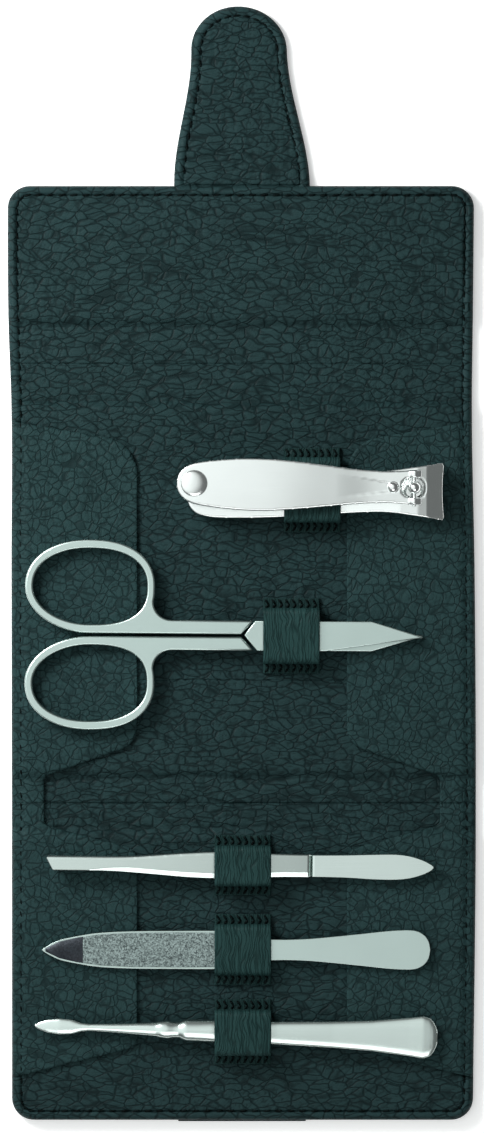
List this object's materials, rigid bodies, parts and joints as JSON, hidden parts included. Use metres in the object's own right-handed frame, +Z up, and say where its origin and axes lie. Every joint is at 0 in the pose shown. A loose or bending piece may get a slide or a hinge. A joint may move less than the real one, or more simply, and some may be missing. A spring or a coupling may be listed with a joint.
{
  "type": "manicure set case",
  "caption": "Fold-over leather manicure case, lying open, with nail clipper, scissors, tweezers, file and cuticle pusher under leather loops.",
  "frame": {"origin": "middle of the underside, with the case lying open and flat", "axes": "+X to the right along the creases, +Y from the front panel's free edge to the tip of the closing tab, +Z up out of the lining"},
  "size_m": [0.1058, 0.2536, 0.014],
  "materials": {
    "outer_leather": "pebble-grained, dark bottle green, nearly black",
    "lining_leather": "pebble-grained lining leather",
    "pocket_leather": "pebble-grained, slightly lighter",
    "loop_leather": "smooth strap leather",
    "board": "grey-brown stiffening board",
    "magnet": "nickel-plated disc",
    "polished_steel": "polished stainless steel",
    "satin_steel": "satin stainless steel",
    "grit": "diamond grit bed"
  },
  "bodies": {
    "back_panel": {"back_leather": "outer_leather", "back_board": "board", "back_lining": "lining_leather", "back_pocket_left": "pocket_leather", "back_pocket_right": "pocket_leather", "clipper_loop": "loop_leather", "scissors_loop": "loop_leather"},
    "gusset": {"gusset_leather": "outer_leather", "gusset_lining": "lining_leather"},
    "flap": {"flap_leather": "outer_leather", "flap_board": "board", "flap_lining": "lining_leather"},
    "tab": {"tab_leather": "outer_leather", "tab_lining": "lining_leather", "tab_magnet": "magnet"},
    "spine": {"spine_leather": "outer_leather", "spine_lining": "lining_leather", "spine_pocket_left": "pocket_leather", "spine_pocket_right": "pocket_leather"},
    "front_panel": {"front_leather": "outer_leather", "front_board": "board", "front_lining": "lining_leather", "front_magnet": "magnet", "front_pocket_left": "pocket_leather", "front_pocket_right": "pocket_leather", "closure_patch": "outer_leather", "tweezers_loop": "loop_leather", "file_loop": "loop_leather", "pusher_loop": "loop_leather"},
    "clipper": {"clipper_lower_jaw": "polished_steel", "clipper_rear_rivet": "polished_steel"},
    "upper_jaw": {"clipper_upper_jaw": "polished_steel"},
    "post": {"clipper_post": "polished_steel", "clipper_cross_pin": "polished_steel"},
    "lever": {"clipper_lever": "polished_steel", "clipper_lever_stud": "polished_steel", "clipper_thumb_dome": "polished_steel"},
    "scissors": {"scissors_screw": "polished_steel"},
    "scissors_upper": {"scissors_half_upper": "polished_steel"},
    "scissors_lower": {"scissors_half_lower": "polished_steel"},
    "tweezers": {"tweezers_lower_arm": "polished_steel"},
    "tweezers_arm": {"tweezers_upper_arm": "polished_steel"},
    "file": {"file_blank": "satin_steel", "file_grit_lower": "grit", "file_grit_upper": "grit"},
    "pusher": {"cuticle_pusher": "polished_steel"}
  },
  "joints": [
    {"name": "gusset_fold", "type": "hinge", "parent": "back_panel", "child": "gusset", "pos_m": [0, 0.03715, 0.0029], "axis": [1, 0, 0], "range_deg": [0, 90]},
    {"name": "flap_fold", "type": "hinge", "parent": "gusset", "child": "flap", "pos_m": [0, 0.05395, 0.0029], "axis": [1, 0, 0], "range_deg": [0, 90]},
    {"name": "tab_bend", "type": "hinge", "parent": "flap", "child": "tab", "pos_m": [0, 0.08595, 0], "axis": [1, 0, 0], "range_deg": [-90, 2.5]},
    {"name": "spine_fold", "type": "hinge", "parent": "back_panel", "child": "spine", "pos_m": [0, -0.04885, 0.0038], "axis": [-1, 0, 0], "range_deg": [0, 90]},
    {"name": "front_fold", "type": "hinge", "parent": "spine", "child": "front_panel", "pos_m": [0, -0.05995, 0.0038], "axis": [-1, 0, 0], "range_deg": [0, 90]},
    {"name": "clipper_slide", "type": "slide", "parent": "back_panel", "child": "clipper", "axis": [1, 0, 0], "range_m": [0, 0.072]},
    {"name": "jaw_squeeze", "type": "hinge", "parent": "clipper", "child": "upper_jaw", "pos_m": [-0.0125, 0.01675, 0.0058], "axis": [0, 1, 0], "range_deg": [0, 1.2], "stiffness_Nm_per_rad": 0.3},
    {"name": "lever_swivel", "type": "hinge", "parent": "clipper", "child": "post", "pos_m": [0.0389, 0.01675, 0.0117], "axis": [0, 0, -1], "range_deg": [0, 180]},
    {"name": "lever_tilt", "type": "hinge", "parent": "post", "child": "lever", "pos_m": [0.0389, 0.01675, 0.0117], "axis": [0, 1, 0], "range_deg": [0, 150]},
    {"name": "scissors_slide", "type": "slide", "parent": "back_panel", "child": "scissors", "axis": [-1, 0.007, 0], "range_m": [0, 0.096]},
    {"name": "scissors_open", "type": "hinge", "parent": "scissors", "child": "scissors_upper", "pos_m": [0.0112, -0.01635, 0.0041], "axis": [0, 0, -1], "range_deg": [0, 15]},
    {"name": "scissors_open_lower", "type": "hinge", "parent": "scissors", "child": "scissors_lower", "pos_m": [0.0112, -0.01635, 0.0041], "axis": [0, 0, -1], "range_deg": [-15, 0]},
    {"name": "tweezers_slide", "type": "slide", "parent": "front_panel", "child": "tweezers", "axis": [0.9999, -0.0122, 0], "range_m": [0, 0.1]},
    {"name": "tweezers_squeeze", "type": "hinge", "parent": "tweezers", "child": "tweezers_arm", "pos_m": [0.0157, -0.06859, 0.0053], "axis": [-0.0122, -0.9999, 0], "range_deg": [0, 2.2], "stiffness_Nm_per_rad": 0.2},
    {"name": "file_slide", "type": "slide", "parent": "front_panel", "child": "file", "axis": [1, 0, 0], "range_m": [0, 0.101]},
    {"name": "pusher_slide", "type": "slide", "parent": "front_panel", "child": "pusher", "axis": [0.9996, -0.0297, 0], "range_m": [0, 0.103]}
  ],
  "couplings": [
    {"joint": "flap_fold", "follows": "gusset_fold", "ratio": 1},
    {"joint": "front_fold", "follows": "spine_fold", "ratio": 1},
    {"joint": "scissors_open_lower", "follows": "scissors_open", "ratio": -1}
  ]
}
